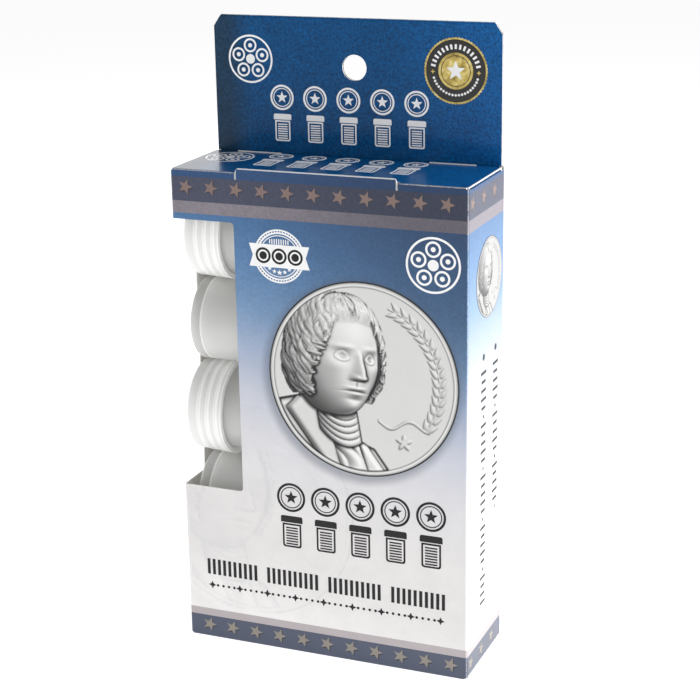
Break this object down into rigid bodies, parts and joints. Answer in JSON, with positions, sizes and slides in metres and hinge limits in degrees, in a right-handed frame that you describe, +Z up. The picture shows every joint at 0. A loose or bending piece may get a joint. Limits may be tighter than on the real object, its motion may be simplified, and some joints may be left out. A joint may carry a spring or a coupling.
{
  "type": "coin tube carton",
  "caption": "Hang carton with a corner window and tuck closures, holding a stack of clear screw-capped tubes that each take a roll of coins.",
  "frame": {"origin": "centre of the carton's footprint, on the surface that it stands on", "axes": "+X to the carton's right, +Y from the front to the back, +Z up to the hang hole"},
  "size_m": [0.0888, 0.0318, 0.1842],
  "materials": {
    "printed_board": "gloss-coated folding board, printed blue over white",
    "bare_board": "uncoated white inside of the board",
    "tube_plastic": "clear, slightly hazy moulded plastic",
    "cap_plastic": "milky clear moulded plastic"
  },
  "bodies": {
    "carton": {"front_panel": "printed_board", "right_side_panel": "printed_board", "left_side_panel": "printed_board", "back_panel": "printed_board", "glue_flap": "bare_board", "header_front_ply": "printed_board", "header_back_ply": "printed_board"},
    "top_lid": {"top_lid": "printed_board"},
    "top_tuck_flap": {"top_tuck_flap": "bare_board"},
    "top_dust_flap_left": {"top_dust_flap_left": "bare_board"},
    "top_dust_flap_right": {"top_dust_flap_right": "bare_board"},
    "bottom_closure": {"bottom_closure": "printed_board"},
    "bottom_tuck_flap": {"bottom_tuck_flap": "bare_board"},
    "bottom_dust_flap_left": {"bottom_dust_flap_left": "bare_board"},
    "bottom_dust_flap_right": {"bottom_dust_flap_right": "bare_board"},
    "tube_1": {"tube_1": "tube_plastic"},
    "cap_1": {"cap_1": "cap_plastic"},
    "tube_2": {"tube_2": "tube_plastic"},
    "cap_2": {"cap_2": "cap_plastic"},
    "tube_3": {"tube_3": "tube_plastic"},
    "cap_3": {"cap_3": "cap_plastic"},
    "tube_4": {"tube_4": "tube_plastic"},
    "cap_4": {"cap_4": "cap_plastic"},
    "tube_5": {"tube_5": "tube_plastic"},
    "cap_5": {"cap_5": "cap_plastic"}
  },
  "joints": [
    {"name": "top_lid_hinge", "type": "hinge", "parent": "carton", "child": "top_lid", "pos_m": [0, -0.01542, 0.14397], "axis": [1, 0, 0], "range_deg": [0, 150]},
    {"name": "top_tuck_hinge", "type": "hinge", "parent": "top_lid", "child": "top_tuck_flap", "pos_m": [0, 0.01342, 0.14397], "axis": [-1, 0, 0], "range_deg": [0, 60]},
    {"name": "top_dust_left_hinge", "type": "hinge", "parent": "carton", "child": "top_dust_flap_left", "pos_m": [-0.044, 0, 0.14342], "axis": [0, -1, 0], "range_deg": [0, 90]},
    {"name": "top_dust_right_hinge", "type": "hinge", "parent": "carton", "child": "top_dust_flap_right", "pos_m": [0.044, 0, 0.14342], "axis": [0, 1, 0], "range_deg": [0, 90]},
    {"name": "bottom_closure_hinge", "type": "hinge", "parent": "carton", "child": "bottom_closure", "pos_m": [0, -0.01542, 0.00045], "axis": [-1, 0, 0], "range_deg": [0, 150]},
    {"name": "bottom_tuck_hinge", "type": "hinge", "parent": "bottom_closure", "child": "bottom_tuck_flap", "pos_m": [0, 0.01438, 0.00045], "axis": [1, 0, 0], "range_deg": [0, 60]},
    {"name": "bottom_dust_left_hinge", "type": "hinge", "parent": "carton", "child": "bottom_dust_flap_left", "pos_m": [-0.044, 0, 0.001], "axis": [0, 1, 0], "range_deg": [0, 90]},
    {"name": "bottom_dust_right_hinge", "type": "hinge", "parent": "carton", "child": "bottom_dust_flap_right", "pos_m": [0.044, 0, 0.001], "axis": [0, -1, 0], "range_deg": [0, 90]},
    {"name": "cap_1_turn", "type": "hinge", "parent": "carton", "child": "cap_1", "pos_m": [0, 0, 0.12412], "axis": [-1, 0, 0], "range_deg": [0, 204]},
    {"name": "tube_1_slide", "type": "slide", "parent": "carton", "child": "tube_1", "axis": [1, 0, 0], "range_m": [0, 0.00171]},
    {"name": "cap_2_turn", "type": "hinge", "parent": "carton", "child": "cap_2", "pos_m": [0, 0, 0.09702], "axis": [1, 0, 0], "range_deg": [0, 192]},
    {"name": "tube_2_slide", "type": "slide", "parent": "carton", "child": "tube_2", "axis": [-1, 0, 0], "range_m": [0, 0.00161]},
    {"name": "cap_3_turn", "type": "hinge", "parent": "carton", "child": "cap_3", "pos_m": [0, 0, 0.06991], "axis": [-1, 0, 0], "range_deg": [0, 384]},
    {"name": "tube_3_slide", "type": "slide", "parent": "carton", "child": "tube_3", "axis": [1, 0, 0], "range_m": [0, 0.00321]},
    {"name": "cap_4_turn", "type": "hinge", "parent": "carton", "child": "cap_4", "pos_m": [0, 0, 0.04281], "axis": [1, 0, 0], "range_deg": [0, 240]},
    {"name": "tube_4_slide", "type": "slide", "parent": "carton", "child": "tube_4", "axis": [-1, 0, 0], "range_m": [0, 0.00201]},
    {"name": "cap_5_turn", "type": "hinge", "parent": "carton", "child": "cap_5", "pos_m": [0, 0, 0.0157], "axis": [-1, 0, 0], "range_deg": [0, 324]},
    {"name": "tube_5_slide", "type": "slide", "parent": "carton", "child": "tube_5", "axis": [1, 0, 0], "range_m": [0, 0.00271]}
  ],
  "couplings": [
    {"joint": "top_tuck_hinge", "follows": "top_lid_hinge", "ratio": 0.4},
    {"joint": "top_dust_left_hinge", "follows": "top_lid_hinge", "ratio": 0.6},
    {"joint": "top_dust_right_hinge", "follows": "top_lid_hinge", "ratio": 0.6},
    {"joint": "bottom_tuck_hinge", "follows": "bottom_closure_hinge", "ratio": 0.4},
    {"joint": "bottom_dust_left_hinge", "follows": "bottom_closure_hinge", "ratio": 0.6},
    {"joint": "bottom_dust_right_hinge", "follows": "bottom_closure_hinge", "ratio": 0.6},
    {"joint": "tube_1_slide", "follows": "cap_1_turn", "m_per_rad": 0.00047746},
    {"joint": "tube_2_slide", "follows": "cap_2_turn", "m_per_rad": 0.00047746},
    {"joint": "tube_3_slide", "follows": "cap_3_turn", "m_per_rad": 0.00047746},
    {"joint": "tube_4_slide", "follows": "cap_4_turn", "m_per_rad": 0.00047746},
    {"joint": "tube_5_slide", "follows": "cap_5_turn", "m_per_rad": 0.00047746}
  ]
}
